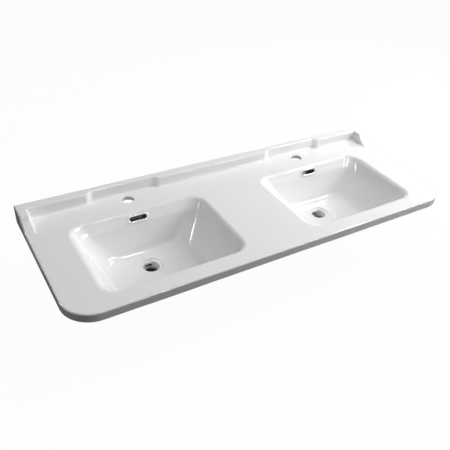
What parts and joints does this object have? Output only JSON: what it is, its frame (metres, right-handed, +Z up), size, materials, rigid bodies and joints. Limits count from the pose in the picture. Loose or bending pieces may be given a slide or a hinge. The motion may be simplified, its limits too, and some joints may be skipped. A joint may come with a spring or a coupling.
{
  "type": "double washbasin",
  "caption": "Two-bowl glazed ceramic washbasin top with a stepped upstand, ogee end wings, rolled bowl rims and chrome-trimmed overflow slots.",
  "frame": {"origin": "middle of the plane in which the lip and the middle rib end underneath: half-way along the length and half-way from the wall to the front edge", "axes": "+X along the length to the right as seen from the front, +Y towards the wall, +Z up"},
  "size_m": [1.2, 0.46, 0.208],
  "materials": {
    "glazed_ceramic": "gloss",
    "chrome": "polished",
    "spring_steel": "satin"
  },
  "bodies": {
    "root": {"basin_casting": "glazed_ceramic", "left_overflow_trim": "chrome", "right_overflow_trim": "chrome", "left_trim_springs": "spring_steel", "right_trim_springs": "spring_steel"}
  },
  "joints": []
}
